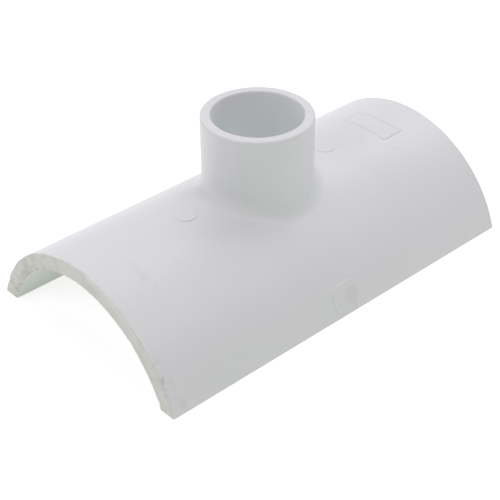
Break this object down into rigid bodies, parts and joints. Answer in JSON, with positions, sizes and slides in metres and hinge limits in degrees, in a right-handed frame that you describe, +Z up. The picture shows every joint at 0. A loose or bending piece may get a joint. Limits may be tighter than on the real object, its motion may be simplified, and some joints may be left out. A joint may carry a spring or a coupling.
{
  "type": "tapping saddle",
  "caption": "Half-round shell that is cemented over a main pipe, with an upright socket on its crown for a branch pipe, in white rigid plastic.",
  "frame": {"origin": "in the plane of the feet, under the branch socket's axis and midway along the shell; the main pipe's axis lies 15.3 mm below it", "axes": "+X along the main pipe, away from the rough sawn end; +Z up the branch socket, out of its mouth"},
  "size_m": [0.166, 0.0972, 0.0636],
  "materials": {
    "white_pvc": "satin moulded surface, dull where one end is sawn"
  },
  "bodies": {
    "root": {"saddle": "white_pvc"}
  },
  "joints": []
}
